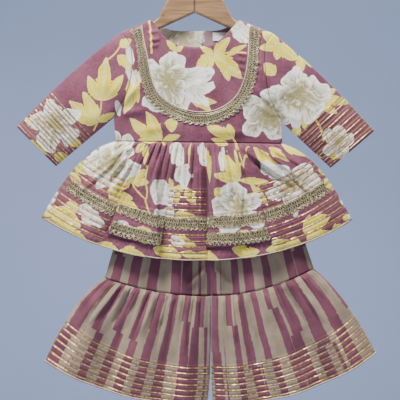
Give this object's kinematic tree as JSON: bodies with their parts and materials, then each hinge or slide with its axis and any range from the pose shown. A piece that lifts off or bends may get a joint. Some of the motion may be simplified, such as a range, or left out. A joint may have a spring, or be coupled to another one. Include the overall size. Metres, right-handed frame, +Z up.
{
  "type": "sharara suit on a hanger",
  "caption": "Child's sharara suit hanging flat on a plain wooden hanger: long-sleeved kurti with a gathered peplum and lace, over a flared two-tier sharara",
  "frame": {"origin": "inside top of the hanger's hook, where a rail carries it", "axes": "+Z up, the garment's front faces -Y, +X to the right as seen from the front"},
  "size_m": [0.5753, 0.0483, 0.7232],
  "materials": {
    "printed_cotton": "dusty mauve cotton, floral print with off-white flowers and yellow leaves",
    "striped_cotton": "cotton with woven mauve and beige stripes",
    "gold_lace": "antique-gold metallic thread lace",
    "white_tape": "blank white woven tape",
    "pale_wood": "pale varnished softwood",
    "steel": "bright steel wire"
  },
  "bodies": {
    "root": {"kurti_bodice_front": "printed_cotton", "kurti_bodice_back": "printed_cotton", "kurti_sleeve_left": "printed_cotton", "kurti_sleeve_right": "printed_cotton", "kurti_peplum_front": "printed_cotton", "kurti_peplum_back": "printed_cotton", "kurti_flap_left": "printed_cotton", "kurti_flap_right": "printed_cotton", "kurti_neck_lace": "gold_lace", "kurti_hem_lace_left": "gold_lace", "kurti_hem_lace_middle": "gold_lace", "kurti_hem_lace_right": "gold_lace", "kurti_hem_lace_back": "gold_lace", "kurti_flap_left_lace_upper": "gold_lace", "kurti_flap_left_lace_lower": "gold_lace", "kurti_flap_right_lace_upper": "gold_lace", "kurti_flap_right_lace_lower": "gold_lace", "kurti_neck_loop": "gold_lace", "kurti_neck_button": "printed_cotton", "kurti_neck_label": "white_tape", "sharara_waistband": "striped_cotton", "sharara_upper_left": "striped_cotton", "sharara_upper_right": "striped_cotton", "sharara_flounce_left": "striped_cotton", "sharara_flounce_right": "striped_cotton", "hanger_arm_left": "pale_wood", "hanger_arm_right": "pale_wood", "hanger_hook": "steel"}
  },
  "joints": []
}
